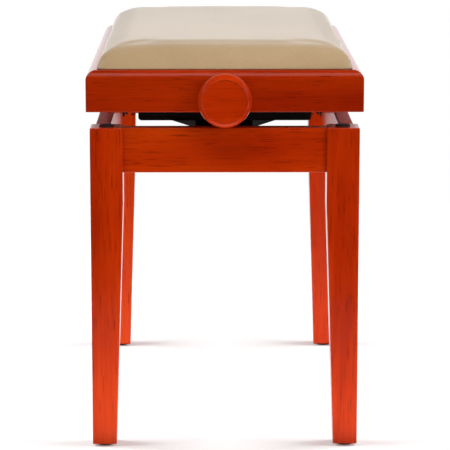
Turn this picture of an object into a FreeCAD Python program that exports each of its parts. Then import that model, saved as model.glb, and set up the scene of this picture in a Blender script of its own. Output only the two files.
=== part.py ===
import FreeCAD, Part
import math
import os
from FreeCAD import Rotation, Vector

# Height-adjustable piano bench: a cherry-stained leg frame, an upholstered seat frame above it,
# and a black steel scissor lift between them, worked by a screw with a wooden knob at each end.
# Millimetres. +X runs across the seat, +Y along it, +Z up; the origin is on the floor under the
# bench's middle. "Front" is the -Y end and "left" is the -X side.

# Seat frame
SEAT_W = 330.0
SEAT_L = 553.0
SEAT_Z = 410.7  # underside of the seat frame at the modelled height
RAIL_H = 49.3
RAIL_T = 28.0
RAIL_ROUND = 12.0
REBATE_IN = 14.0  # from the rail's outer face to the rebate's wall
REBATE_Z = 32.8  # height of the rebate's ledge above the rail's underside

# Leg frame
FRAME_W = 321.5
FRAME_L = 546.0
LEG_Z = 391.0
LEG_TOP = 39.0
LEG_FOOT = 29.0
TAPER_Z = 300.0  # the legs are straight above this height
APRON_H = 54.1
APRON_T = 18.0
APRON_SETBACK = 5.5
GLIDE_H = 3.0
GLIDE_R = 10.0
BUMPER_H = 2.0
BUMPER_R = 9.0

# Upholstery
BOARD_T = 12.0
COVER_T = 1.0
CUSHION_TOP = 490.0
CUSHION_BULGE = 3.8  # how far the cushion's sides stand out past the board
CUSHION_ROUND = 20.0

# Scissor lift
ARM_LENGTH = 420.0  # between an arm's two end pivots
SCREW_Z = 15.8  # screw axis above the seat frame's underside
LOWER_PIVOT_Z = 354.0
TRAVEL_DOWN = 17.0
TRAVEL_UP = 83.0
ARM_HALF_DEPTH = 10.0
SHEET = 2.0
NECK_HW = 35.5  # half width of the inner arm's narrow end
WIDE_HW = 79.0  # and of its wide end
SHOULDER_S = 119.8  # where the inner arm starts to widen
PLATE_ENDS = (8.0, 400.0)
OUTER_ARM_X = 81.0  # inner face of the outer arms
OUTER_ARM_T = 3.0
CHANNEL_HW = 40.0
CHANNEL_Z = 339.0
UPPER_RAIL_X = 101.0  # inner face of the upper rails
UPPER_RAIL_T = 2.5
BRACKET_HW = 103.5
BRACKET_T = 3.0
BRACKET_DROP = 13.5  # below the seat frame's underside
PIN_R = 5.0
BUSH_R = 8.0
SCREW_R = 6.0
SCREW_PITCH = 3.0
RUN = 0.05  # radial running clearance
LOOSE = 0.6  # radial clearance where the linkage is opened

# Knobs
KNOB_R = 31.5
KNOB_FACE_R = 27.0
KNOB_DEPTH = 26.0
KNOB_GAP = 2.5

SIDES = {"left": -1, "right": 1}
ENDS = {"front": -1, "rear": 1}

# Worked out from the above
leg_x = FRAME_W / 2
leg_y = FRAME_L / 2
apron_z = LEG_Z - APRON_H
apron_in_x = leg_x - APRON_SETBACK - APRON_T
apron_in_y = leg_y - APRON_SETBACK - APRON_T
rail_in_x = SEAT_W / 2 - RAIL_T
rail_in_y = SEAT_L / 2 - RAIL_T
board_z = SEAT_Z + REBATE_Z + COVER_T
seat_top = SEAT_Z + RAIL_H
screw_z = SEAT_Z + SCREW_Z
lift = screw_z - LOWER_PIVOT_Z
arm_angle = math.asin(lift / ARM_LENGTH)
pivot_y = ARM_LENGTH * math.cos(arm_angle) / 2
reach_low = ARM_LENGTH * math.cos(math.asin((lift - TRAVEL_DOWN) / ARM_LENGTH))
reach_high = ARM_LENGTH * math.cos(math.asin((lift + TRAVEL_UP) / ARM_LENGTH))
slot_y = (reach_high - pivot_y, reach_low - pivot_y)
bracket_in_y = rail_in_y - BRACKET_T


def box(x0, x1, y0, y1, z0, z1):
    """Block between two corners given in any order."""
    lo = Vector(min(x0, x1), min(y0, y1), min(z0, z1))
    return Part.makeBox(abs(x1 - x0), abs(y1 - y0), abs(z1 - z0), lo)


def rod(radius, start, end):
    """Cylinder from one point to another."""
    axis = Vector(*end) - Vector(*start)
    return Part.makeCylinder(radius, axis.Length, Vector(*start), axis)


def fuse(shapes):
    solid = shapes[0].multiFuse(shapes[1:]) if len(shapes) > 1 else shapes[0]
    return solid.removeSplitter()


def cut(shape, tools):
    return shape.cut(Part.makeCompound(list(tools))) if tools else shape


def mirrored(shape, sx, sy):
    """A shape made for the +X, +Y corner, moved to another corner."""
    if sx < 0:
        shape = shape.mirror(Vector(), Vector(1, 0, 0))
    if sy < 0:
        shape = shape.mirror(Vector(), Vector(0, 1, 0))
    return shape


def prism(points, lift_vector):
    """Solid swept from a flat polygon of (x, y, z) points."""
    corners = [Vector(*p) for p in points]
    return Part.Face(Part.makePolygon(corners + corners[:1])).extrude(Vector(*lift_vector))


def rounded_rect(x0, x1, y0, y1, z, r):
    """Wire of a rectangle with rounded corners at height z."""
    centres = ((x1 - r, y1 - r, 0), (x0 + r, y1 - r, 90), (x0 + r, y0 + r, 180), (x1 - r, y0 + r, 270))
    arcs = []
    for cx, cy, start in centres:
        ends = [math.radians(start + turn) for turn in (0, 45, 90)]
        points = [Vector(cx + r * math.cos(a), cy + r * math.sin(a), z) for a in ends]
        arcs.append(Part.Arc(*points).toShape())
    edges = []
    for i, arc in enumerate(arcs):
        following = arcs[(i + 1) % 4]
        edges.append(arc)
        edges.append(Part.makeLine(arc.Vertexes[-1].Point, following.Vertexes[0].Point))
    return Part.Wire(edges)


def edges_at_height(shape, z):
    return [e for e in shape.Edges if all(abs(v.Z - z) < 1e-6 for v in e.Vertexes)]


def wood_screw(head, direction, length, shank_r=2.0, head_r=4.0, head_h=2.2):
    """Pan-head screw: head is the point under its head, direction the way it drives in."""
    at = Vector(*head)
    along = Vector(*direction).normalize()
    shank = Part.makeCylinder(shank_r, length, at, along)
    cap = Part.makeCylinder(head_r, head_h, at, along * -1)
    rim = max(cap.Edges, key=lambda e: (e.CenterOfMass - at).dot(along * -1))
    return fuse([shank, cap.makeFillet(0.9, [rim])])


def wood_screws(places, length):
    return Part.makeCompound([wood_screw(at, way, length) for at, way in places])


def screw_hole(head, direction, length, shank_r=2.0):
    """Hole that a wood screw's shank sits in."""
    along = Vector(*direction).normalize()
    return Part.makeCylinder(shank_r + RUN, length + 0.5, Vector(*head) - along * 0.2, along)


def along_arm(shape, pivot_z, tilt):
    """Lays a shape made along +Y from the origin onto an arm that starts at the front pivot."""
    shape = shape.copy()
    shape.rotate(Vector(), Vector(1, 0, 0), math.degrees(tilt))
    shape.translate(Vector(0, -pivot_y, pivot_z))
    return shape


def stadium(x0, x1, y0, y1, half):
    """Bar along Y with round ends centred on y0 and y1, from x0 to x1, half deep above and below."""
    middle = box(x0, x1, y0, y1, -half, half)
    caps = [rod(half, (min(x0, x1), y, 0), (max(x0, x1), y, 0)) for y in (y0, y1)]
    return fuse([middle] + caps)


# ---------------------------------------------------------------- leg frame

brace_sum = leg_x + leg_y - 2 * LEG_TOP - 14.5  # x + y along a corner brace's outer face
brace_tab = 18.5
brace_z = (apron_z + 5, LEG_Z - 12)
bolt_z = 363.0
bolt_r = 3.0
diagonal = Vector(1, 1, 0).normalize()
leg_inner_corner = Vector(leg_x - LEG_TOP, leg_y - LEG_TOP, bolt_z)
corner_to_brace = (leg_inner_corner.x + leg_inner_corner.y - brace_sum) / math.sqrt(2)
bolt_at_brace = leg_inner_corner - diagonal * corner_to_brace
bolt_start = bolt_at_brace - diagonal * 18
bolt_end = bolt_at_brace + diagonal * 42


def brace_screws():
    """(head point, direction) of one corner brace's four screws."""
    places = []
    tab_y = brace_sum - apron_in_x - brace_tab / 2
    tab_x = brace_sum - apron_in_y - brace_tab / 2
    for z in (brace_z[0] + 9, brace_z[1] - 9):
        places.append(((apron_in_x - SHEET, tab_y, z), (1, 0, 0)))
        places.append(((tab_x, apron_in_y - SHEET, z), (0, 1, 0)))
    return places


def leg():
    """Square leg, tapered on its two inner faces, with a flat for the hanger bolt."""
    taper_foot = rounded_rect(leg_x - LEG_FOOT, leg_x, leg_y - LEG_FOOT, leg_y, GLIDE_H, 2.0)
    taper_top = rounded_rect(leg_x - LEG_TOP, leg_x, leg_y - LEG_TOP, leg_y, TAPER_Z, 2.0)
    tapered = Part.makeLoft([taper_foot, taper_top], True, True)
    straight = Part.Face(taper_top).extrude(Vector(0, 0, LEG_Z - TAPER_Z))
    straight = straight.makeFillet(1.5, edges_at_height(straight, LEG_Z))
    corner = leg_inner_corner
    flat = prism(
        [(corner.x - 1, corner.y - 1, apron_z), (corner.x + 8, corner.y - 1, apron_z),
         (corner.x - 1, corner.y + 8, apron_z)],
        (0, 0, APRON_H + 1),
    )
    foot = Vector(leg_x - LEG_FOOT / 2, leg_y - LEG_FOOT / 2, GLIDE_H)
    nail_hole = Part.makeCylinder(1.5 + RUN, 12.5, foot)
    bolt_hole = rod(bolt_r + RUN, bolt_start, bolt_end + diagonal)
    return cut(fuse([tapered, straight]), [flat, nail_hole, bolt_hole])


def apron(along_x, sign):
    """One of the four boards between the legs, set back from the legs' faces."""
    if along_x:
        length = leg_x - LEG_TOP
        far = leg_y - APRON_SETBACK
        board = box(-length, length, sign * (far - APRON_T), sign * far, apron_z, LEG_Z)
    else:
        length = leg_y - LEG_TOP
        far = leg_x - APRON_SETBACK
        board = box(sign * (far - APRON_T), sign * far, -length, length, apron_z, LEG_Z)
    run = [e for e in board.Edges if abs(e.Length - 2 * length) < 1e-6]
    board = board.makeFillet(1.5, run)
    holes = []
    for sx in (-1, 1):
        for sy in (-1, 1):
            holes += [mirrored(screw_hole(at, way, 13), sx, sy) for at, way in brace_screws()]
    holes += [screw_hole(at, way, 13) for at, way in channel_screws()]
    return cut(board, holes)


def corner_brace():
    """Bent steel plate across a corner, its two tabs flat on the aprons."""
    outer = brace_sum
    inner = brace_sum - SHEET * math.sqrt(2)
    ix, iy = apron_in_x, apron_in_y
    plan = [
        (ix, outer - ix - brace_tab), (ix, outer - ix), (outer - iy, iy), (outer - iy - brace_tab, iy),
        (outer - iy - brace_tab, iy - SHEET), (inner - iy + SHEET, iy - SHEET),
        (ix - SHEET, inner - ix + SHEET), (ix - SHEET, outer - ix - brace_tab),
    ]
    plate = prism([(x, y, brace_z[0]) for x, y in plan], (0, 0, brace_z[1] - brace_z[0]))
    relief = box(outer - iy + 3, ix - SHEET - 1, outer - ix + 3, iy - SHEET - 1, 0, brace_z[0] + 5)
    holes = [screw_hole(at, way, 6) for at, way in brace_screws()]
    holes.append(rod(bolt_r + 0.5, bolt_start, bolt_end))
    return cut(plate, [relief] + holes)


def wing_nut():
    """Hub and two upright wings on a hanger bolt's free end."""
    seat_face = bolt_at_brace - diagonal * SHEET
    hub = Part.makeCone(6.5, 5.0, 7, seat_face, diagonal * -1)
    wings = box(-1.2, 1.2, -4.5, 4.5, -13, 13)
    wings = wings.makeFillet(3.5, [e for e in wings.Edges if abs(e.Length - 2.4) < 1e-6])
    wings.rotate(Vector(), Vector(0, 0, 1), -45)
    wings.translate(seat_face - diagonal * 5.5)
    return cut(fuse([hub, wings]), [rod(bolt_r + RUN, bolt_start - diagonal, bolt_end)])


def foot_glide():
    """Round glide nailed under a leg."""
    x = leg_x - LEG_FOOT / 2
    y = leg_y - LEG_FOOT / 2
    disc = Part.makeCylinder(GLIDE_R, GLIDE_H, Vector(x, y, 0))
    disc = disc.makeFillet(0.8, edges_at_height(disc, 0))
    return fuse([disc, Part.makeCylinder(1.5, 12, Vector(x, y, GLIDE_H - 0.5))])


def top_bumper():
    """Low round buffer on a leg's top, where the seat frame lands."""
    centre = Vector(leg_x - LEG_TOP / 2, leg_y - LEG_TOP / 2, LEG_Z)
    disc = Part.makeCylinder(BUMPER_R, BUMPER_H, centre)
    return disc.makeFillet(1.4, edges_at_height(disc, LEG_Z + BUMPER_H))


# ---------------------------------------------------------------- lower half of the lift

channel_plate_hw = 56.0
channel_plate_z = 378.0


def channel_screws():
    """(head point, direction) of the screws that hold the channel to both end aprons."""
    places = []
    for sy in (-1, 1):
        for x in (-46, 46):
            for z in (352, 370):
                places.append(((x, sy * (apron_in_y - SHEET), z), (0, sy, 0)))
    return places


def lower_channel():
    """Shallow channel between the end aprons, with raised ears for the arms' lower ends."""
    hw = CHANNEL_HW
    z0 = CHANNEL_Z
    low_top = z0 + 10
    ear_top = LOWER_PIVOT_Z + 12
    pieces = [box(-hw, hw, -apron_in_y, apron_in_y, z0, z0 + SHEET)]
    for sx in (-1, 1):
        inner = sx * (hw - SHEET)
        pieces.append(box(inner, sx * hw, -apron_in_y, apron_in_y, z0, low_top))
        for y0, y1 in ((-pivot_y - 20, -pivot_y + 24), (slot_y[0] - 18, slot_y[1] + 18)):
            ear = [(y0 - 10, low_top), (y0, ear_top), (y1, ear_top), (y1 + 10, low_top)]
            pieces.append(prism([(inner, y, z) for y, z in ear], (sx * SHEET, 0, 0)))
    for sy in (-1, 1):
        face = apron_in_y * sy
        pieces.append(box(-channel_plate_hw, channel_plate_hw, face, face - sy * SHEET, z0, channel_plate_z))
    channel = fuse(pieces)
    pin_hole = rod(PIN_R + RUN, (-hw - 1, -pivot_y, LOWER_PIVOT_Z), (hw + 1, -pivot_y, LOWER_PIVOT_Z))
    slot = stadium(-hw - 1, hw + 1, slot_y[0], slot_y[1], BUSH_R + LOOSE)
    slot.translate(Vector(0, 0, LOWER_PIVOT_Z))
    holes = [screw_hole(at, way, 6) for at, way in channel_screws()]
    return cut(channel, [pin_hole, slot] + holes)


def lower_pivot_pin():
    """Headed pin through the channel's front ears and the inner arm's neck."""
    shank = rod(PIN_R, (-CHANNEL_HW - 3, -pivot_y, LOWER_PIVOT_Z), (CHANNEL_HW + 3, -pivot_y, LOWER_PIVOT_Z))
    heads = []
    for sx in (-1, 1):
        x = CHANNEL_HW + 0.5
        heads.append(rod(7.5, (sx * x, -pivot_y, LOWER_PIVOT_Z), (sx * (x + 2.5), -pivot_y, LOWER_PIVOT_Z)))
    return fuse([shank] + heads)


# ---------------------------------------------------------------- arms

def inner_arm():
    """Pressed tray-shaped arm: narrow where it sits in the channel, wide above the shoulders."""
    shoulder_end = SHOULDER_S + WIDE_HW - NECK_HW
    half = ARM_HALF_DEPTH

    def outline(inset, start, end):
        neck = NECK_HW - inset
        wide = WIDE_HW - inset
        bend = inset * math.tan(math.radians(22.5))
        right = [(neck, start), (neck, SHOULDER_S + bend), (wide, shoulder_end + bend), (wide, end)]
        return right + [(-x, y) for x, y in reversed(right)]

    blank = prism([(x, y, -half) for x, y in outline(0, -half, ARM_LENGTH + half)], (0, 0, 2 * half))
    inside = outline(SHEET, -half - 1, ARM_LENGTH + half + 1)
    hollow = prism([(x, y, -half + SHEET) for x, y in inside], (0, 0, 3 * half))
    tray = blank.cut(hollow).common(stadium(-WIDE_HW, WIDE_HW, 0, ARM_LENGTH, half))
    neck_in = NECK_HW - SHEET
    wide_in = WIDE_HW - SHEET
    open_ends = [
        box(-neck_in, neck_in, -half, PLATE_ENDS[0], -half, 0),
        box(-wide_in, wide_in, PLATE_ENDS[1], ARM_LENGTH + half, -half, 0),
    ]
    lightening = [rod(20, (0, s, -half - 1), (0, s, 0)) for s in (235, 300, 365)]
    pivots = [
        rod(PIN_R + RUN, (-WIDE_HW, 0, 0), (WIDE_HW, 0, 0)),
        rod(4 + RUN, (-WIDE_HW, ARM_LENGTH / 2, 0), (WIDE_HW, ARM_LENGTH / 2, 0)),
        rod(SCREW_R + RUN, (-WIDE_HW, ARM_LENGTH, 0), (WIDE_HW, ARM_LENGTH, 0)),
    ]
    arm = cut(tray, open_ends + lightening + pivots)
    return along_arm(arm, LOWER_PIVOT_Z, arm_angle)


def centre_pivots():
    """Headed pivots that join the arms at the middle of the scissor, one each side."""
    pins = []
    middle = ARM_LENGTH / 2
    for sx in (-1, 1):
        inside = WIDE_HW - SHEET - 3.5
        outside = OUTER_ARM_X + OUTER_ARM_T + 0.5
        shank = rod(4, (sx * inside, middle, 0), (sx * (outside + 3), middle, 0))
        nut = rod(6.5, (sx * inside, middle, 0), (sx * (inside + 3.2), middle, 0))
        head = rod(7, (sx * outside, middle, 0), (sx * (outside + 3), middle, 0))
        pins.append(along_arm(fuse([shank, nut, head]), LOWER_PIVOT_Z, arm_angle))
    return Part.makeCompound(pins)


def pivot_washers():
    """Thin washers between the inner and outer arms."""
    rings = []
    for sx in (-1, 1):
        near = (sx * (WIDE_HW + 0.2), ARM_LENGTH / 2, 0)
        ring = rod(8, near, (sx * (OUTER_ARM_X - 0.3), ARM_LENGTH / 2, 0))
        hole = rod(4 + RUN, (sx * WIDE_HW, ARM_LENGTH / 2, 0), (sx * OUTER_ARM_X, ARM_LENGTH / 2, 0))
        rings.append(along_arm(ring.cut(hole), LOWER_PIVOT_Z, arm_angle))
    return Part.makeCompound(rings)


def outer_arm(sx):
    """Flat bar beside the inner arm, from the upper front pivot down to the lower slide rod."""
    x0 = sx * OUTER_ARM_X
    x1 = sx * (OUTER_ARM_X + OUTER_ARM_T)
    bar = stadium(x0, x1, 0, ARM_LENGTH, ARM_HALF_DEPTH)
    holes = [
        rod(PIN_R + RUN, (x0 - sx, 0, 0), (x1 + sx, 0, 0)),
        rod(4 + LOOSE, (x0 - sx, ARM_LENGTH / 2, 0), (x1 + sx, ARM_LENGTH / 2, 0)),
        rod(PIN_R + RUN, (x0 - sx, ARM_LENGTH, 0), (x1 + sx, ARM_LENGTH, 0)),
    ]
    return along_arm(cut(bar, holes), screw_z, -arm_angle)


def lower_slide_rod():
    """Rod that ties the outer arms' lower ends and runs in the channel's slots."""
    reach = OUTER_ARM_X + OUTER_ARM_T
    shank = rod(PIN_R, (-reach - 3, pivot_y, LOWER_PIVOT_Z), (reach + 3, pivot_y, LOWER_PIVOT_Z))
    heads = []
    for sx in (-1, 1):
        near = (sx * (reach + 0.3), pivot_y, LOWER_PIVOT_Z)
        heads.append(rod(7, near, (sx * (reach + 3), pivot_y, LOWER_PIVOT_Z)))
    return fuse([shank] + heads)


def slide_bushes(x, z, bore):
    """Pair of nylon slide bushes at +-x, centred on the sliding ends of the arms."""
    pair = []
    for sx in (-1, 1):
        ring = rod(BUSH_R, (sx * (x - 2.5), pivot_y, z), (sx * (x + 2.5), pivot_y, z))
        pair.append(ring.cut(rod(bore + RUN, (sx * (x - 3), pivot_y, z), (sx * (x + 3), pivot_y, z))))
    return Part.makeCompound(pair)


def nut_bar():
    """Cross bar at the inner arm's upper end, with the screw's nut block at its middle."""
    reach = BRACKET_HW + 2.5
    bar = rod(SCREW_R, (-reach, pivot_y, screw_z), (reach, pivot_y, screw_z))
    block = box(-15, 15, pivot_y - 13, pivot_y + 13, screw_z - 11, screw_z + 11)
    block = block.makeFillet(2, [e for e in block.Edges if abs(e.Length - 26) < 1e-6])
    bore = rod(SCREW_R + LOOSE, (0, pivot_y - 20, screw_z), (0, pivot_y + 20, screw_z))
    return fuse([bar, block]).cut(bore)


# ---------------------------------------------------------------- seat frame

def seat_rail(along_x, sign):
    """Mitred rail with a rounded top edge outside and a rebate for the cushion board inside."""
    half_w = SEAT_W / 2
    half_l = SEAT_L / 2
    far, length = (half_l, half_w) if along_x else (half_w, half_l)
    top = seat_top
    r = RAIL_ROUND
    q = r * (1 - math.sqrt(0.5))
    small = 1.5
    s = small * (1 - math.sqrt(0.5))
    ledge = SEAT_Z + REBATE_Z

    def at(inset, z):
        return Vector(far - inset, 0, z)

    profile = [
        Part.makeLine(at(RAIL_T, SEAT_Z), at(small, SEAT_Z)),
        Part.Arc(at(small, SEAT_Z), at(s, SEAT_Z + s), at(0, SEAT_Z + small)).toShape(),
        Part.makeLine(at(0, SEAT_Z + small), at(0, top - r)),
        Part.Arc(at(0, top - r), at(q, top - q), at(r, top)).toShape(),
        Part.makeLine(at(r, top), at(REBATE_IN, top)),
        Part.makeLine(at(REBATE_IN, top), at(REBATE_IN, ledge)),
        Part.makeLine(at(REBATE_IN, ledge), at(RAIL_T, ledge)),
        Part.makeLine(at(RAIL_T, ledge), at(RAIL_T, SEAT_Z)),
    ]
    rail = Part.Face(Part.Wire(profile)).extrude(Vector(0, 2 * length, 0))
    rail.translate(Vector(0, -length, 0))
    mitre = prism(
        [(far, -length, SEAT_Z), (far, length, SEAT_Z),
         (far - RAIL_T, length - RAIL_T, SEAT_Z), (far - RAIL_T, RAIL_T - length, SEAT_Z)],
        (0, 0, RAIL_H),
    )
    rail = rail.common(mitre)
    if along_x:
        rail.rotate(Vector(), Vector(0, 0, 1), 90)
    if sign < 0:
        rail.rotate(Vector(), Vector(0, 0, 1), 180)
    outline_wire = rounded_rect(-half_w, half_w, -half_l, half_l, SEAT_Z, 3.0)
    corners = Part.Face(outline_wire).extrude(Vector(0, 0, RAIL_H))
    rail = rail.common(corners)
    holes = [screw_hole(at, way, 20) for at, way in bracket_screws()]
    holes.append(rod(8.2, (0, -half_l - 1, screw_z), (0, half_l + 1, screw_z)))
    return cut(rail, holes)


def bracket_screws():
    """(head point, direction) of the screws that hold the end brackets to the end rails."""
    places = []
    for sy in (-1, 1):
        for x in (-70, -32, 32, 70):
            places.append(((x, sy * bracket_in_y, screw_z + 5), (0, sy, 0)))
    return places


def end_bracket(sy):
    """Steel plate on the inside of an end rail, carrying the screw's bush and the upper rails."""
    z0 = SEAT_Z - BRACKET_DROP
    z1 = SEAT_Z + REBATE_Z - 2
    plate = box(-BRACKET_HW, BRACKET_HW, sy * bracket_in_y, sy * rail_in_y, z0, z1)
    lower_corners = [e for e in plate.Edges if abs(e.Length - BRACKET_T) < 1e-6 and e.CenterOfMass.z < z0 + 1]
    plate = plate.makeFillet(4, lower_corners)
    bore = rod(8, (0, sy * (bracket_in_y - 1), screw_z), (0, sy * (rail_in_y + 1), screw_z))
    holes = [screw_hole(at, way, 6) for at, way in bracket_screws()]
    return cut(plate, [bore] + holes + rivet_holes())


def upper_rail(sx):
    """Long steel angle with the front pivot's hole and the rear slot for the nut bar."""
    x0 = sx * UPPER_RAIL_X
    x1 = sx * BRACKET_HW
    z0 = SEAT_Z
    z1 = SEAT_Z + REBATE_Z - 2
    web = box(x0, x1, -bracket_in_y, bracket_in_y, z0, z1)
    flange = box(sx * (UPPER_RAIL_X - 14), x1, -bracket_in_y, bracket_in_y, z1 - UPPER_RAIL_T, z1)
    pin_hole = rod(PIN_R + RUN, (x0 - sx, -pivot_y, screw_z), (x1 + sx, -pivot_y, screw_z))
    slot = stadium(x0 - sx, x1 + sx, slot_y[0], slot_y[1], BUSH_R + LOOSE)
    slot.translate(Vector(0, 0, screw_z))
    return cut(fuse([web, flange]), [pin_hole, slot] + rivet_holes())


cleat_leg = 18.0
cleat_z = (SEAT_Z + 3, SEAT_Z + REBATE_Z - 2 - UPPER_RAIL_T)


def rivet_lines():
    """(start, end) of the rivets' shanks through the cleats and the plates behind them."""
    lines = []
    for sx in (-1, 1):
        for sy in (-1, 1):
            for z in (cleat_z[0] + 6, cleat_z[1] - 6):
                y = sy * (bracket_in_y - 12)
                lines.append(((sx * (UPPER_RAIL_X - SHEET), y, z), (sx * BRACKET_HW, y, z)))
                x = sx * (UPPER_RAIL_X - 12)
                lines.append(((x, sy * (bracket_in_y - SHEET), z), (x, sy * rail_in_y, z)))
    return lines


def rivet_holes():
    holes = []
    for start, end in rivet_lines():
        way = (Vector(*end) - Vector(*start)).normalize()
        holes.append(rod(2 + RUN, Vector(*start) - way, Vector(*end) + way))
    return holes


def rail_rivets():
    """Rivets with a round head on the cleat's side."""
    rivets = []
    for start, end in rivet_lines():
        way = (Vector(*end) - Vector(*start)).normalize()
        shank = rod(2, start, end)
        head = rod(3.5, Vector(*start) - way * 1.4, Vector(*start))
        rivets.append(fuse([shank, head]))
    return Part.makeCompound(rivets)


def rail_cleats():
    """Small angles that join the upper rails to the end brackets."""
    x1 = UPPER_RAIL_X
    y1 = bracket_in_y
    on_rail = box(x1 - SHEET, x1, y1 - cleat_leg, y1, cleat_z[0], cleat_z[1])
    on_bracket = box(x1 - cleat_leg, x1, y1 - SHEET, y1, cleat_z[0], cleat_z[1])
    cleat = fuse([on_rail, on_bracket])
    cleats = [mirrored(cleat, sx, sy) for sx in (-1, 1) for sy in (-1, 1)]
    return Part.makeCompound([cut(c, rivet_holes()) for c in cleats])


def upper_pivot_pins():
    """Short headed pins that hang the outer arms from the upper rails, with a collar between."""
    pins = []
    for sx in (-1, 1):
        inside = OUTER_ARM_X - 2.6
        outside = BRACKET_HW + 0.3
        shank = rod(PIN_R, (sx * inside, -pivot_y, screw_z), (sx * (outside + 2.2), -pivot_y, screw_z))
        inner_head = rod(7, (sx * inside, -pivot_y, screw_z), (sx * (inside + 2.2), -pivot_y, screw_z))
        collar = rod(8, (sx * (OUTER_ARM_X + OUTER_ARM_T + 0.4), -pivot_y, screw_z),
                     (sx * (UPPER_RAIL_X - 0.1), -pivot_y, screw_z))
        outer_head = rod(7, (sx * outside, -pivot_y, screw_z), (sx * (outside + 2.2), -pivot_y, screw_z))
        pins.append(fuse([shank, inner_head, collar, outer_head]))
    return Part.makeCompound(pins)


def corner_blocks():
    """Glued triangular blocks inside the seat frame's corners."""
    leg_len = 32.0
    z0 = SEAT_Z + 4
    z1 = SEAT_Z + REBATE_Z - 1.2
    x, y = rail_in_x, rail_in_y
    block = prism([(x, y, z0), (x - leg_len, y, z0), (x, y - leg_len, z0)], (0, 0, z1 - z0))
    block = block.cut(screw_hole(board_screw_head(), (0, 0, 1), 36))
    return Part.makeCompound([mirrored(block, sx, sy) for sx in (-1, 1) for sy in (-1, 1)])


def board_screw_head():
    """Underside of a corner block, where its screw up into the seat board starts."""
    return (rail_in_x - 10, rail_in_y - 10, SEAT_Z + 4)


def four_corners(shape):
    return Part.makeCompound([mirrored(shape, sx, sy) for sx in (-1, 1) for sy in (-1, 1)])


# ---------------------------------------------------------------- upholstery

board_hw = SEAT_W / 2 - REBATE_IN - COVER_T - 0.3
board_hl = SEAT_L / 2 - REBATE_IN - COVER_T - 0.3


def slab(hw, hl, z0, z1, r):
    """Flat plate centred on the bench, with rounded corners."""
    return Part.Face(rounded_rect(-hw, hw, -hl, hl, z0, r)).extrude(Vector(0, 0, z1 - z0))


def dome(grow):
    """Soft-edged block above the seat frame, grown outward all round by grow."""
    hw = board_hw + CUSHION_BULGE + grow
    hl = board_hl + CUSHION_BULGE + grow
    z0 = seat_top + 1.5 + COVER_T - grow
    block = slab(hw, hl, z0, CUSHION_TOP - COVER_T + grow, 18 + grow)
    block = block.makeFillet(CUSHION_ROUND + grow, edges_at_height(block, CUSHION_TOP - COVER_T + grow))
    return block


def seat_board():
    board = slab(board_hw, board_hl, board_z, board_z + BOARD_T, 8)
    holes = four_corners(screw_hole(board_screw_head(), (0, 0, 1), 36))
    return board.cut(holes)


def seat_foam():
    """Foam pad on the board, standing out over the frame's rounded edge."""
    neck = slab(board_hw, board_hl, board_z + BOARD_T, seat_top + 6, 8)
    return fuse([neck, dome(0)])


def seat_cover():
    """Fabric pulled over the foam and turned under the board's edge."""
    neck = slab(board_hw + COVER_T, board_hl + COVER_T, board_z - COVER_T, seat_top + 6, 9)
    outside = fuse([neck, dome(COVER_T)])
    turn_under = 30.0
    opening = slab(board_hw - turn_under, board_hl - turn_under, board_z - COVER_T - 1, board_z, 8)
    holes = four_corners(screw_hole(board_screw_head(), (0, 0, 1), 36))
    board_space = slab(board_hw, board_hl, board_z, board_z + BOARD_T, 8)
    return outside.cut(seat_foam()).cut(board_space).cut(opening).cut(holes)


def dust_cover():
    """Black cloth under the board, its corners cut clear of the corner blocks."""
    hw = rail_in_x - 3
    hl = rail_in_y - 3
    c = 36.0
    z0 = board_z - COVER_T - 0.8
    corners = [
        (hw, hl - c), (hw - c, hl), (c - hw, hl), (-hw, hl - c),
        (-hw, c - hl), (c - hw, -hl), (hw - c, -hl), (hw, c - hl),
    ]
    return prism([(x, y, z0) for x, y in corners], (0, 0, 0.8))


# ---------------------------------------------------------------- screw and knobs

def spindle():
    """Round screw through both end rails, with its thread rings in the nut's range."""
    end_y = SEAT_L / 2 + KNOB_GAP + 18
    thread = (slot_y[0] - 24, slot_y[1] + 22)
    root = SCREW_R - 1.4
    outline = [(0, -end_y), (SCREW_R, -end_y), (SCREW_R, thread[0])]
    turns = int((thread[1] - thread[0]) / SCREW_PITCH)
    for i in range(turns):
        y = thread[0] + i * SCREW_PITCH
        outline += [(root, y + 0.6), (root, y + 1.4), (SCREW_R, y + 2.0), (SCREW_R, y + SCREW_PITCH)]
    outline += [(SCREW_R, end_y), (0, end_y)]
    face = Part.Face(Part.makePolygon([Vector(r, y, 0) for r, y in outline + outline[:1]]))
    screw = face.revolve(Vector(), Vector(0, 1, 0), 360)
    screw.translate(Vector(0, 0, screw_z))
    return cut(screw, [pin_hole(sy) for sy in (-1, 1)])


def knob_pin(sy, radius, low):
    """Pin driven up through a knob's underside and the screw, starting low below the axis."""
    y = sy * (SEAT_L / 2 + KNOB_GAP + 6)
    return rod(radius, (0, y, screw_z - low), (0, y, screw_z + 12))


def pin_hole(sy):
    return knob_pin(sy, 1.5 + RUN, KNOB_R + 1)


def knob_pins():
    return Part.makeCompound([knob_pin(sy, 1.5, KNOB_R - 3) for sy in (-1, 1)])


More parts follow.
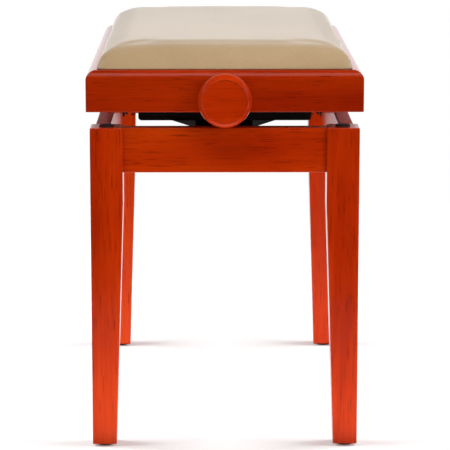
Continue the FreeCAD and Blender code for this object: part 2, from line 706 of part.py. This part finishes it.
def knob(sy):
    """Turned knob: straight at the back, curving in to a rim round its slightly sunk face."""
    back = SEAT_L / 2 + KNOB_GAP
    face = back + KNOB_DEPTH
    rim = 1.1
    rim_in = KNOB_FACE_R - rim
    sink = 0.7
    curve_from = back + 8
    bow_r = KNOB_FACE_R + (KNOB_R - KNOB_FACE_R) * 0.80
    bow_y = curve_from + (face - curve_from) * 0.66

    def at(r, y):
        return Vector(r, y, 0)

    edges = [
        Part.makeLine(at(0, back), at(KNOB_R - 3, back)),
        Part.Arc(at(KNOB_R - 3, back), at(KNOB_R - 0.88, back + 0.88), at(KNOB_R, back + 3)).toShape(),
        Part.makeLine(at(KNOB_R, back + 3), at(KNOB_R, curve_from)),
        Part.Arc(at(KNOB_R, curve_from), at(bow_r, bow_y), at(KNOB_FACE_R, face - 0.5)).toShape(),
        Part.Arc(at(KNOB_FACE_R, face - 0.5), at(rim_in + rim / 2, face), at(rim_in, face - 0.5)).toShape(),
        Part.makeLine(at(rim_in, face - 0.5), at(rim_in - 0.2, face - sink)),
        Part.makeLine(at(rim_in - 0.2, face - sink), at(0, face - sink)),
        Part.makeLine(at(0, face - sink), at(0, back)),
    ]
    body = Part.Face(Part.Wire(edges)).revolve(Vector(), Vector(0, 1, 0), 360)
    if sy < 0:
        body = body.mirror(Vector(), Vector(0, 1, 0))
    body.translate(Vector(0, 0, screw_z))
    socket = rod(SCREW_R + RUN, (0, sy * (back - 1), screw_z), (0, sy * (back + 18.3), screw_z))
    return cut(body, [socket, pin_hole(sy)])


def spindle_bush(sy):
    """Flanged nylon bush in an end bracket."""
    body = rod(7.95, (0, sy * bracket_in_y, screw_z), (0, sy * (rail_in_y + 7), screw_z))
    flange = rod(11.5, (0, sy * (bracket_in_y - 2), screw_z), (0, sy * bracket_in_y, screw_z))
    bore = rod(SCREW_R + RUN, (0, sy * (bracket_in_y - 3), screw_z), (0, sy * (rail_in_y + 8), screw_z))
    return fuse([body, flange]).cut(bore)


def thrust_collars():
    """Collars fixed on the screw just inside the bushes."""
    rings = []
    for sy in (-1, 1):
        y0 = bracket_in_y - 2.3
        ring = rod(11, (0, sy * (y0 - 8), screw_z), (0, sy * y0, screw_z))
        bore = rod(SCREW_R + RUN, (0, sy * (y0 - 9), screw_z), (0, sy * (y0 + 1), screw_z))
        rings.append(ring.cut(bore))
    return Part.makeCompound(rings)


# ---------------------------------------------------------------- assembly

def all_parts():
    """Every sub-part by node name."""
    parts = {}
    for end, sy in ENDS.items():
        for side, sx in SIDES.items():
            corner = f"{end}_{side}"
            parts[f"leg_{corner}"] = mirrored(leg(), sx, sy)
            parts[f"foot_glide_{corner}"] = mirrored(foot_glide(), sx, sy)
            parts[f"top_bumper_{corner}"] = mirrored(top_bumper(), sx, sy)
            parts[f"corner_brace_{corner}"] = mirrored(corner_brace(), sx, sy)
        parts[f"end_apron_{end}"] = apron(True, sy)
        parts[f"seat_rail_{end}"] = seat_rail(True, sy)
        parts[f"end_bracket_{end}"] = end_bracket(sy)
        parts[f"spindle_bush_{end}"] = spindle_bush(sy)
        parts[f"knob_{end}"] = knob(sy)
    for side, sx in SIDES.items():
        parts[f"side_apron_{side}"] = apron(False, sx)
        parts[f"seat_rail_{side}"] = seat_rail(False, sx)
        parts[f"upper_rail_{side}"] = upper_rail(sx)
        parts[f"outer_arm_{side}"] = outer_arm(sx)
    parts["hanger_bolts"] = four_corners(rod(bolt_r, bolt_start, bolt_end))
    parts["wing_nuts"] = four_corners(wing_nut())
    parts["brace_screws"] = four_corners(wood_screws(brace_screws(), 13))
    parts["channel_screws"] = wood_screws(channel_screws(), 13)
    parts["bracket_screws"] = wood_screws(bracket_screws(), 20)
    parts["board_screws"] = four_corners(wood_screw(board_screw_head(), (0, 0, 1), 36))
    parts["lower_channel"] = lower_channel()
    parts["lower_pivot_pin"] = lower_pivot_pin()
    parts["inner_arm"] = inner_arm()
    parts["centre_pivots"] = centre_pivots()
    parts["pivot_washers"] = pivot_washers()
    parts["lower_slide_rod"] = lower_slide_rod()
    parts["lower_slide_bushes"] = slide_bushes(CHANNEL_HW - SHEET / 2, LOWER_PIVOT_Z, PIN_R)
    parts["nut_bar"] = nut_bar()
    parts["upper_slide_bushes"] = slide_bushes(UPPER_RAIL_X + UPPER_RAIL_T / 2, screw_z, SCREW_R)
    parts["rail_cleats"] = rail_cleats()
    parts["rail_rivets"] = rail_rivets()
    parts["upper_pivot_pins"] = upper_pivot_pins()
    parts["corner_blocks"] = corner_blocks()
    parts["seat_board"] = seat_board()
    parts["seat_foam"] = seat_foam()
    parts["seat_cover"] = seat_cover()
    parts["dust_cover"] = dust_cover()
    parts["spindle"] = spindle()
    parts["knob_pins"] = knob_pins()
    parts["thrust_collars"] = thrust_collars()
    return parts


os.makedirs("parts", exist_ok=True)
for name, shape in all_parts().items():
    shape.exportStep(f"parts/{name}.step")
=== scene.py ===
import math

import bmesh
import bpy
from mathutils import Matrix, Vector, noise


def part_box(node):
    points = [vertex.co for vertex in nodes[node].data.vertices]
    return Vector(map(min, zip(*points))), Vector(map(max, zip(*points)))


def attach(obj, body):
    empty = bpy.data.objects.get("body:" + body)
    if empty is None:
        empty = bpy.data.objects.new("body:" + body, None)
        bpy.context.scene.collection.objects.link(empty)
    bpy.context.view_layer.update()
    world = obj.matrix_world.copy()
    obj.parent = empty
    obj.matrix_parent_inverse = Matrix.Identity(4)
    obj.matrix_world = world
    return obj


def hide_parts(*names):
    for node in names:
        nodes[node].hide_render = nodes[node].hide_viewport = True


# Height-adjustable piano bench. The wood, steel and hardware are the CAD nodes with finishes of
# their own; the cushion is built here from its outline, then tightened by a cloth simulation.

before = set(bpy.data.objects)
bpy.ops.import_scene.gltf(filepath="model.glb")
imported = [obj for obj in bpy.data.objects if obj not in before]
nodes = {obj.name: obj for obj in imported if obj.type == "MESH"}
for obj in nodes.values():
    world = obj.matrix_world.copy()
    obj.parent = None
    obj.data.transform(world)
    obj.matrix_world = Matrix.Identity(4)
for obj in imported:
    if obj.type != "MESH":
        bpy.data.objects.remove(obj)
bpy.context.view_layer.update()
MM = 0.001


# ---------------------------------------------------------------- material helpers

class Finish:
    """A node material. Short calls for the nodes that the finishes below share."""

    def __init__(self, name, **sockets):
        self.material = bpy.data.materials.new(name)
        self.material.use_nodes = True
        self.tree = self.material.node_tree
        self.shader = self.tree.nodes["Principled BSDF"]
        self.place = self.add("ShaderNodeTexCoord").outputs["Object"]
        for socket, value in sockets.items():
            self.shader.inputs[socket.replace("_", " ")].default_value = value

    def add(self, kind, **settings):
        node = self.tree.nodes.new(kind)
        for key, value in settings.items():
            setattr(node, key, value)
        return node

    def join(self, source, target):
        self.tree.links.new(source, target)

    def stretched(self, scale):
        """The place on the object, scaled per axis."""
        mapping = self.add("ShaderNodeMapping")
        mapping.inputs["Scale"].default_value = scale
        self.join(self.place, mapping.inputs["Vector"])
        return mapping.outputs["Vector"]

    def noise(self, where, scale=1.0, detail=3.0, rough=0.5, distortion=0.0):
        node = self.add("ShaderNodeTexNoise")
        values = {"Scale": scale, "Detail": detail, "Roughness": rough, "Distortion": distortion}
        for socket, value in values.items():
            node.inputs[socket].default_value = value
        self.join(where, node.inputs["Vector"])
        return node.outputs["Fac"]

    def cells(self, where, scale=1.0, feature="F1"):
        node = self.add("ShaderNodeTexVoronoi", feature=feature)
        node.inputs["Scale"].default_value = scale
        self.join(where, node.inputs["Vector"])
        return node.outputs["Distance"]

    def ramp(self, factor, *stops):
        """Colour ramp through (position, colour) stops; a plain number is a grey."""
        node = self.add("ShaderNodeValToRGB")
        elements = node.color_ramp.elements
        while len(elements) < len(stops):
            elements.new(0.5)
        for element, (position, colour) in zip(elements, stops):
            element.position = position
            rgb = (colour,) * 3 if isinstance(colour, (int, float)) else colour
            element.color = (*rgb, 1)
        self.join(factor, node.inputs["Fac"])
        return node.outputs["Color"]

    def remap(self, factor, low, high):
        node = self.add("ShaderNodeMapRange")
        node.inputs["To Min"].default_value = low
        node.inputs["To Max"].default_value = high
        self.join(factor, node.inputs["Value"])
        return node.outputs["Result"]

    def mix(self, a, b, factor, blend="MIX"):
        """Colour a changed by colour b; factor is a number or a socket."""
        node = self.add("ShaderNodeMix", data_type="RGBA", blend_type=blend)
        if isinstance(factor, (int, float)):
            node.inputs["Factor"].default_value = factor
        else:
            self.join(factor, node.inputs["Factor"])
        for value, socket in ((a, node.inputs[6]), (b, node.inputs[7])):
            if isinstance(value, tuple):
                socket.default_value = (*value, 1)
            else:
                self.join(value, socket)
        return node.outputs[2]

    def sum(self, a, b, operation="ADD"):
        node = self.add("ShaderNodeMath", operation=operation)
        for value, socket in ((a, node.inputs[0]), (b, node.inputs[1])):
            if isinstance(value, (int, float)):
                socket.default_value = value
            else:
                self.join(value, socket)
        return node.outputs["Value"]

    def colour(self, output):
        self.join(output, self.shader.inputs["Base Color"])

    def roughness(self, output):
        self.join(output, self.shader.inputs["Roughness"])

    def bump(self, height, distance, strength=1.0):
        """Relief whose full height is distance, in metres."""
        node = self.add("ShaderNodeBump")
        node.inputs["Strength"].default_value = strength
        node.inputs["Distance"].default_value = distance
        self.join(height, node.inputs["Height"])
        self.join(node.outputs["Normal"], self.shader.inputs["Normal"])


# ---------------------------------------------------------------- finishes

DARK_CHERRY = (0.26, 0.010, 0.0002)
MID_CHERRY = (0.40, 0.024, 0.0004)
LIGHT_CHERRY = (0.50, 0.043, 0.0012)


def lacquered_cherry(name, grain, tone=1.0, gloss=0.1):
    """Stained hardwood under thin clear lacquer, its fibres along the grain axis (0 to 2)."""
    f = Finish(name, Specular_IOR_Level=gloss, Coat_Weight=gloss, Coat_Roughness=0.06, Coat_IOR=1.25)

    def along(across, lengthwise):
        scale = [across] * 3
        scale[grain] = lengthwise
        return f.stretched(tuple(scale))

    figure = f.noise(along(17, 1.3), detail=3, distortion=0.8)
    cloud = f.noise(along(11, 5), detail=2)
    fibre = f.noise(along(260, 9), detail=4, rough=0.55)
    pores = f.noise(along(640, 30), detail=2, rough=0.6)
    shades = [tuple(tone * c for c in shade) for shade in (DARK_CHERRY, MID_CHERRY, LIGHT_CHERRY)]
    colour = f.ramp(f.sum(f.sum(figure, 0.6, "MULTIPLY"), f.sum(cloud, 0.4, "MULTIPLY")),
                    (0.32, shades[0]), (0.5, shades[1]), (0.68, shades[2]))
    colour = f.mix(colour, f.ramp(fibre, (0.3, 0.84), (0.65, 1.06)), 0.8, "MULTIPLY")
    f.colour(f.mix(colour, f.ramp(pores, (0.32, 0.42), (0.42, 1.0)), 0.7, "MULTIPLY"))
    f.roughness(f.remap(fibre, 0.14, 0.2))
    f.bump(fibre, 0.000004, 0.3)
    return f.material


def plain_timber(name, grain, light, dark):
    """Unfinished sawn wood with saw marks across the grain."""
    f = Finish(name)
    scale = [160] * 3
    scale[grain] = 7
    fibre = f.noise(f.stretched(tuple(scale)), detail=5, rough=0.6)
    f.colour(f.ramp(fibre, (0.3, dark), (0.7, light)))
    f.roughness(f.remap(fibre, 0.6, 0.85))
    f.bump(fibre, 0.0003, 0.6)
    return f.material


def plywood(name):
    """Sanded veneer faces, with the plies showing as bands through the thickness."""
    f = Finish(name)
    fibre = f.noise(f.stretched((140, 8, 140)), detail=5)
    plies = f.add("ShaderNodeTexWave", bands_direction="Z")
    plies.inputs["Scale"].default_value = 130
    plies.inputs["Distortion"].default_value = 0.4
    f.join(f.place, plies.inputs["Vector"])
    veneer = f.ramp(fibre, (0.3, (0.46, 0.29, 0.14)), (0.7, (0.66, 0.47, 0.26)))
    f.colour(f.mix(veneer, f.ramp(plies.outputs["Fac"], (0.4, 0.7), (0.6, 1.0)), 0.5, "MULTIPLY"))
    f.roughness(f.remap(fibre, 0.55, 0.75))
    f.bump(fibre, 0.0001, 0.5)
    return f.material


def powder_coat(name):
    """Black powder coat with fine orange peel and a little rubbed greying."""
    f = Finish(name, Specular_IOR_Level=0.15)
    peel = f.noise(f.place, 1500, detail=1)
    rub = f.noise(f.place, 22, detail=6, rough=0.7)
    f.colour(f.ramp(rub, (0.45, (0.004, 0.004, 0.0042)), (0.75, (0.011, 0.011, 0.0115))))
    f.roughness(f.remap(rub, 0.5, 0.7))
    f.bump(peel, 0.00005, 0.5)
    return f.material


def metal(name, dark, light, rough, scale, mark=0.00003):
    """Bare or plated metal, cloudy in tone, with fine tool marks."""
    f = Finish(name, Metallic=1.0)
    cloud = f.noise(f.place, 60, detail=5, rough=0.65)
    marks = f.noise(f.stretched(scale), detail=3)
    f.colour(f.ramp(cloud, (0.3, dark), (0.7, light)))
    f.roughness(f.remap(f.mix(cloud, marks, 0.5), *rough))
    f.bump(marks, mark, 0.6)
    return f.material


def moulded(name, dark, light, rough, grit, relief):
    """Moulded plastic or rubber with a fine-grained surface."""
    f = Finish(name, Specular_IOR_Level=0.35)
    patch = f.noise(f.place, 90, detail=4)
    f.colour(f.ramp(patch, (0.3, dark), (0.7, light)))
    f.roughness(f.remap(patch, *rough))
    f.bump(f.noise(f.place, grit, detail=2), relief, 0.6)
    return f.material


def velvet(name):
    """Short beige pile: soft grazing sheen, faint brushed patches and a fine pile."""
    f = Finish(name, Sheen_Weight=1.0, Sheen_Roughness=0.5, Sheen_Tint=(1.0, 0.96, 0.91, 1),
               Specular_IOR_Level=0.1)
    brushed = f.noise(f.stretched((9, 6, 9)), detail=4, rough=0.6, distortion=0.8)
    pile = f.noise(f.place, 2600, detail=2, rough=0.7)
    tuft = f.noise(f.place, 620, detail=3, rough=0.6)
    base = f.ramp(brushed, (0.35, (0.365, 0.243, 0.12)), (0.65, (0.415, 0.284, 0.15)))
    base = f.mix(base, f.ramp(pile, (0.3, 0.74), (0.7, 1.16)), 0.7, "MULTIPLY")
    f.colour(f.mix(base, f.ramp(tuft, (0.35, 0.9), (0.65, 1.06)), 0.7, "MULTIPLY"))
    f.roughness(f.remap(brushed, 0.82, 0.96))
    f.bump(f.sum(pile, f.sum(tuft, 0.6, "MULTIPLY")), 0.00025, 0.6)
    return f.material


def nonwoven(name):
    """Thin spun-bonded cloth: matted short fibres with a grid of bonding dots."""
    f = Finish(name, Specular_IOR_Level=0.2)
    fibres = f.noise(f.stretched((700, 260, 700)), detail=4, rough=0.7, distortion=1.5)
    dots = f.cells(f.place, 420)
    f.colour(f.ramp(fibres, (0.3, (0.012, 0.012, 0.013)), (0.7, (0.03, 0.03, 0.032))))
    f.roughness(f.remap(fibres, 0.75, 0.95))
    f.bump(f.sum(fibres, dots), 0.00015, 0.7)
    return f.material


def open_foam(name):
    f = Finish(name)
    pores = f.cells(f.place, 900)
    f.colour(f.ramp(pores, (0.1, (0.42, 0.36, 0.2)), (0.6, (0.74, 0.66, 0.44))))
    f.roughness(f.remap(pores, 0.85, 0.98))
    f.bump(pores, 0.0006, 0.8)
    return f.material


X, Y, Z = 0, 1, 2
cherry_upright = lacquered_cherry("cherry_upright", Z, 1.0)
cherry_across = lacquered_cherry("cherry_across", X, 0.95)
cherry_lengthwise = lacquered_cherry("cherry_lengthwise", Y, 1.0, gloss=0.003)
cherry_rail_across = lacquered_cherry("cherry_rail_across", X, 0.86)
cherry_rail_lengthwise = lacquered_cherry("cherry_rail_lengthwise", Y, 0.82)
# The knobs get a brighter copy of the cherry (tone 1.12). This is painted light: it stands in for light
# that the knob faces lack, and is not a lighter wood.
cherry_knob_painted_light = lacquered_cherry("cherry_knob_painted_light", X, 1.12)
black_coat = powder_coat("black_powder_coat")
zinc = metal("zinc_plate", (0.42, 0.42, 0.43), (0.66, 0.66, 0.64), (0.26, 0.5), (500, 500, 500))
turned_steel = metal("turned_steel", (0.3, 0.3, 0.31), (0.5, 0.5, 0.5), (0.2, 0.42),
                     (30, 2200, 30), 0.00004)
nylon = moulded("natural_nylon", (0.56, 0.54, 0.47), (0.66, 0.64, 0.57), (0.4, 0.55), 1300, 0.00005)
rubber = moulded("black_rubber", (0.008, 0.008, 0.008), (0.018, 0.018, 0.018), (0.62, 0.85),
                 1600, 0.00012)
beige_velvet = velvet("beige_velvet")

FINISHES = {
    "leg_": cherry_upright,
    "end_apron": cherry_across,
    "side_apron": cherry_lengthwise,
    "seat_rail_front": cherry_rail_across,
    "seat_rail_rear": cherry_rail_across,
    "seat_rail_left": cherry_rail_lengthwise,
    "seat_rail_right": cherry_rail_lengthwise,
    "knob_front": cherry_knob_painted_light,
    "knob_rear": cherry_knob_painted_light,
    "end_bracket": black_coat,
    "upper_rail": black_coat,
    "outer_arm": black_coat,
    "inner_arm": black_coat,
    "lower_channel": black_coat,
    "rail_cleats": black_coat,
    "corner_brace": black_coat,
    "top_bumper": rubber,
    "foot_glide": rubber,
    "spindle_bush": nylon,
    "pivot_washers": nylon,
    "lower_slide_bushes": nylon,
    "upper_slide_bushes": nylon,
    "spindle": turned_steel,
    "nut_bar": turned_steel,
    "thrust_collars": turned_steel,
    "corner_blocks": plain_timber("sawn_softwood", Z, (0.62, 0.43, 0.23), (0.42, 0.26, 0.12)),
    "seat_board": plywood("birch_plywood"),
    "dust_cover": nonwoven("black_nonwoven"),
    "seat_foam": open_foam("upholstery_foam"),
    "seat_cover": beige_velvet,
}


def finish_for(node):
    """The finish with the longest matching start of the node's name; the rest is plated hardware."""
    matches = [start for start in FINISHES if node.startswith(start)]
    return FINISHES[max(matches, key=len)] if matches else zinc


for name, piece in nodes.items():
    piece.data.materials.clear()
    piece.data.materials.append(finish_for(name))


# ---------------------------------------------------------------- cushion

cover_low, cover_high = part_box("seat_cover")
FRAME_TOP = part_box("seat_rail_left")[1].z
HALF_X = cover_high.x - 1.0 * MM
HALF_Y = cover_high.y - 1.0 * MM
SEAM_Z = FRAME_TOP + 0.6 * MM  # where the cover's bulge rests on the frame's lip
CORNER_R = 13 * MM
NECK = 3.2 * MM  # how far the cover tucks in below the bulge, into the frame's rebate
# Height above the seam at a distance in from the edge, both in millimetres
SIDE_PROFILE = ((0, 0.0), (1, 5.5), (3, 11.5), (6, 16.0), (10, 19.8), (16, 23.2), (25, 26.4),
                (38, 28.8), (55, 30.2), (90, 31.2), (154, 31.6))
END_PROFILE = ((0, 0.0), (2, 4.5), (6, 9.5), (12, 15.5), (20, 22.5), (27, 27.4), (34, 29.6),
               (45, 30.6), (80, 31.4), (266, 31.8))


def height_at(inset, profile):
    """Reading of a profile, straight between its points."""
    for (x0, y0), (x1, y1) in zip(profile, profile[1:]):
        if inset <= x1:
            return y0 + (y1 - y0) * max(0.0, inset - x0) / (x1 - x0)
    return profile[-1][1]


def spread(t, half):
    """Grid line position for t from -1 to 1, closer together towards the edges."""
    return half * (0.62 * math.sin(t * math.pi / 2) + 0.38 * t)


def rounded_corner(x, y):
    """Pulls a point of the rectangle in so that the corners of the outline are round."""
    dx = abs(x) - (HALF_X - CORNER_R)
    dy = abs(y) - (HALF_Y - CORNER_R)
    if dx <= 0 or dy <= 0:
        return x, y
    pull = max(dx, dy) / math.hypot(dx, dy)
    return (math.copysign(HALF_X - CORNER_R + dx * pull, x),
            math.copysign(HALF_Y - CORNER_R + dy * pull, y))


def cushion_height(x, y):
    """Height above the seam, in metres: the side and end slopes meet in a soft mitre."""
    to_side = (HALF_X - abs(x)) / MM
    to_end = (HALF_Y - abs(y)) / MM
    dx = abs(x) - (HALF_X - CORNER_R)
    dy = abs(y) - (HALF_Y - CORNER_R)
    if dx > 0 and dy > 0:
        to_arc = max(0.0, (CORNER_R - math.hypot(dx, dy)) / MM)
        to_side, to_end = min(to_side, to_arc), min(to_end, to_arc)
    side, end = height_at(to_side, SIDE_PROFILE), height_at(to_end, END_PROFILE)
    ease = 0.6 + 0.06 * min(side, end)
    lower = min(side, end) - ease * math.log1p(math.exp(-abs(side - end) / ease))
    return max(0.0, lower) * MM


def cushion_mesh(columns=46, rows=72):
    """Closed mesh: a crowned grid, a neck down into the rebate and a flat underside."""
    bm = bmesh.new()
    grid = []
    for j in range(rows + 1):
        line = []
        for i in range(columns + 1):
            x, y = rounded_corner(spread(2 * i / columns - 1, HALF_X), spread(2 * j / rows - 1, HALF_Y))
            line.append(bm.verts.new((x, y, SEAM_Z + cushion_height(x, y))))
        grid.append(line)
    for j in range(rows):
        for i in range(columns):
            bm.faces.new((grid[j][i], grid[j][i + 1], grid[j + 1][i + 1], grid[j + 1][i]))
    rim = (grid[0] + [line[-1] for line in grid[1:-1]] + grid[-1][::-1]
           + [line[0] for line in grid[-2:0:-1]])
    above = rim
    for inset, z in ((NECK * 0.55, SEAM_Z - 0.1 * MM), (NECK, SEAM_Z - 1.5 * MM),
                     (NECK, FRAME_TOP - 8 * MM), (NECK, cover_low.z)):
        below = []
        for v in rim:
            shrink = Vector((v.co.x * (1 - inset / HALF_X), v.co.y * (1 - inset / HALF_Y), z))
            below.append(bm.verts.new(shrink))
        for k, v in enumerate(above):
            following = (k + 1) % len(above)
            bm.faces.new((above[following], v, below[k], below[following]))
        above = below
    bm.faces.new(above[::-1])
    bmesh.ops.recalc_face_normals(bm, faces=bm.faces)
    mesh = bpy.data.meshes.new("cushion")
    bm.to_mesh(mesh)
    bm.free()
    return mesh


def tighten(piece, frames=20, most=1.6 * MM):
    """Cloth simulation: the cover is pressed out by the foam and held at the frame's edge."""
    held = piece.vertex_groups.new(name="held")
    rest = [v.co.copy() for v in piece.data.vertices]
    held.add([v.index for v in piece.data.vertices if v.co.z < SEAM_Z + 1.5 * MM], 1.0, "REPLACE")
    modifier = piece.modifiers.new("cloth", "CLOTH")
    cloth = modifier.settings
    cloth.vertex_group_mass = "held"
    cloth.quality = 6
    cloth.mass = 0.3
    cloth.tension_stiffness = 40
    cloth.compression_stiffness = 20
    cloth.shear_stiffness = 12
    cloth.bending_stiffness = 1.5
    cloth.use_pressure = True
    cloth.uniform_pressure_force = 4
    cloth.effector_weights.gravity = 0
    scene = bpy.context.scene
    for step in range(1, frames + 1):
        scene.frame_set(step)
        evaluated = piece.evaluated_get(bpy.context.evaluated_depsgraph_get())
        moved = [v.co.copy() for v in evaluated.data.vertices]
    piece.modifiers.remove(modifier)
    scene.frame_set(1)
    for v, start, end in zip(piece.data.vertices, rest, moved):
        step = end - start
        v.co = start + step * min(1.0, most / max(step.length, 1e-9))


def soften(piece):
    """Slight unevenness of a hand-pulled cover."""
    for v in piece.data.vertices:
        if v.co.z > SEAM_Z + 2 * MM:
            v.co.z += 0.6 * MM * noise.noise(Vector((v.co.x * 16, v.co.y * 11, 3.7)))


cushion = bpy.data.objects.new("cushion", cushion_mesh())
bpy.context.scene.collection.objects.link(cushion)
tighten(cushion)
soften(cushion)
rounding = cushion.modifiers.new("rounding", "SUBSURF")
rounding.levels = rounding.render_levels = 2
cushion.data.materials.append(beige_velvet)
for polygon in cushion.data.polygons:
    polygon.use_smooth = True
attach(cushion, "seat")
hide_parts("seat_cover", "seat_foam")


# ---------------------------------------------------------------- dust cover

def dust_cloth():
    """Cloth stapled under the board, its corners cut off, hanging a little slack in the middle."""
    low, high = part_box("dust_cover")
    across, along, cut_off = high.x, high.y, 36 * MM
    columns, rows = 28, 48
    bm = bmesh.new()
    grid = []
    for j in range(rows + 1):
        line = []
        for i in range(columns + 1):
            u, v = 2 * i / columns - 1, 2 * j / rows - 1
            ring = max(abs(u), abs(v), 1e-6)
            x, y = u / ring * across, v / ring * along
            beyond = max(0.0, abs(x) + abs(y) - (across + along - cut_off)) / 2
            x -= math.copysign(beyond, x)
            y -= math.copysign(beyond, y)
            wave = noise.noise(Vector((x * 30, y * 22, 8.1))) * (1 - ring)
            slack = 0.9 * MM * (1 - ring * ring) + 0.25 * MM * wave
            line.append(bm.verts.new((x * ring, y * ring, high.z - 0.3 * MM - slack)))
        grid.append(line)
    for j in range(rows):
        for i in range(columns):
            bm.faces.new((grid[j][i], grid[j][i + 1], grid[j + 1][i + 1], grid[j + 1][i]))
    mesh = bpy.data.meshes.new("dust_cloth")
    bm.to_mesh(mesh)
    bm.free()
    for polygon in mesh.polygons:
        polygon.use_smooth = True
    mesh.materials.append(FINISHES["dust_cover"])
    cloth = bpy.data.objects.new("dust_cloth", mesh)
    bpy.context.scene.collection.objects.link(cloth)
    thickness = cloth.modifiers.new("thickness", "SOLIDIFY")
    thickness.thickness = 0.5 * MM
    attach(cloth, "seat")
    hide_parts("dust_cover")


dust_cloth()


# ---------------------------------------------------------------- stage, light and camera

def backdrop_floor():
    """Pale floor, a little self-lit, that reaches further behind the bench than in front."""
    mesh = bpy.data.meshes.new("floor")
    corners = ((-2, -1.1), (2, -1.1), (2, 1.4), (-2, 1.4))
    mesh.from_pydata([(x, y, 0) for x, y in corners], [], [(0, 1, 2, 3)])
    floor = bpy.data.objects.new("floor", mesh)
    bpy.context.scene.collection.objects.link(floor)
    f = Finish("pale_floor", Specular_IOR_Level=0.1, Emission_Color=(1, 1, 1, 1),
               Emission_Strength=0.12)
    f.colour(f.ramp(f.noise(f.place, 3), (0.3, 0.86), (0.7, 0.88)))
    f.roughness(f.remap(f.noise(f.place, 5), 0.8, 0.9))
    mesh.materials.append(f.material)
    return floor


def softbox(name, at, aim, size, strength, mirrored=True):
    """Rectangular area light at a place, aimed at a point; mirrored if glossy surfaces show it."""
    data = bpy.data.lights.new(name, "AREA")
    data.shape = "RECTANGLE"
    data.size, data.size_y = size
    data.energy = strength * size[0] * size[1]
    lamp = bpy.data.objects.new(name, data)
    lamp.location = at
    lamp.visible_glossy = mirrored
    lamp.visible_camera = False
    lamp.rotation_euler = (Vector(aim) - Vector(at)).to_track_quat("-Z", "Y").to_euler()
    bpy.context.scene.collection.objects.link(lamp)
    return lamp


def sky():
    """Studio surround: white to the camera; as a light, a white backdrop low behind the bench."""
    world = bpy.data.worlds.new("studio")
    world.use_nodes = True
    tree = world.node_tree
    glow = tree.nodes["Background"]
    glow.inputs["Color"].default_value = (0.97, 0.98, 1.0, 1)
    direction = tree.nodes.new("ShaderNodeTexCoord")
    split = tree.nodes.new("ShaderNodeSeparateXYZ")
    tree.links.new(direction.outputs["Generated"], split.inputs["Vector"])
    both = tree.nodes.new("ShaderNodeMath")
    both.operation = "MULTIPLY_ADD"
    both.inputs[2].default_value = 0.03
    gain = tree.nodes.new("ShaderNodeMath")
    gain.operation = "MULTIPLY"
    gain.inputs[1].default_value = 1.25
    # The glow grows towards the back and fades with height: where each is dark and fully white
    for slot, axis, dark, white in ((0, "Y", -0.3, 0.35), (1, "Z", 0.62, 0.3)):
        fall = tree.nodes.new("ShaderNodeMapRange")
        fall.inputs["From Min"].default_value = dark
        fall.inputs["From Max"].default_value = white
        tree.links.new(split.outputs[axis], fall.inputs["Value"])
        tree.links.new(fall.outputs["Result"], both.inputs[slot])
    tree.links.new(both.outputs["Value"], gain.inputs[0])
    tree.links.new(gain.outputs["Value"], glow.inputs["Strength"])
    seen = tree.nodes.new("ShaderNodeBackground")
    seen.inputs["Strength"].default_value = 1.0
    seen.inputs["Color"].default_value = (1, 1, 1, 1)
    rays = tree.nodes.new("ShaderNodeLightPath")
    choose = tree.nodes.new("ShaderNodeMixShader")
    tree.links.new(rays.outputs["Is Camera Ray"], choose.inputs["Fac"])
    tree.links.new(glow.outputs["Background"], choose.inputs[1])
    tree.links.new(seen.outputs["Background"], choose.inputs[2])
    tree.links.new(choose.outputs["Shader"], tree.nodes["World Output"].inputs["Surface"])
    bpy.context.scene.world = world


floor = backdrop_floor()
sky()
bench_lights = [
    softbox("overhead", (0, -1.0, 2.3), (0, -0.27, 0.46), (2.4, 1.25), 14),
    softbox("ceiling", (0, 0.2, 3.0), (0, 0.2, 0), (4, 4), 1.0, mirrored=False),
    softbox("front_left", (-1.9, -2.4, 1.5), (0, 0, 0.3), (1.3, 1.6), 5.6),
    softbox("front_right", (2.0, -2.2, 1.5), (0, 0, 0.3), (1.3, 1.6), 18),
    # Light off the white floor, in front of the legs and under the bench
    softbox("uplight_front", (0, -0.383, 0.004), (0, -0.383, 1), (0.9, 0.18), 7.2, mirrored=False),
    softbox("uplight_under", (0, 0, 0.004), (0, 0, 1), (0.9, 0.5), 5.8, mirrored=False),
]
floor_lights = [
    softbox(f"wash_{name}", (side * 2.6, 0.1, 1.4), (0, 0.1, 0), (2.0, 4.4), 18, mirrored=False)
    for name, side in (("left", -1), ("right", 1))
]
# Light linking keeps the bench's lights off the floor and the floor's lights off the bench
for state, lamps in (("EXCLUDE", bench_lights), ("INCLUDE", floor_lights)):
    receivers = bpy.data.collections.new(f"floor_{state.lower()}")
    receivers.objects.link(floor)
    receivers.collection_objects[0].light_linking.link_state = state
    for lamp in lamps:
        lamp.light_linking.receiver_collection = receivers

# The photo's camera, fitted to the edges of the bench
camera = bpy.data.objects.new("camera", bpy.data.cameras.new("camera"))
camera.data.lens = 184.3
camera.data.sensor_width = 36
camera.data.clip_end = 30
camera.location = (-0.0214, -2.983, 0.7839)
camera.rotation_euler = (math.radians(90 - 10.651), 0, math.radians(-0.456))
bpy.context.scene.collection.objects.link(camera)
bpy.context.scene.camera = camera
bpy.context.scene.view_settings.view_transform = "Standard"
bpy.context.scene.view_settings.look = "None"
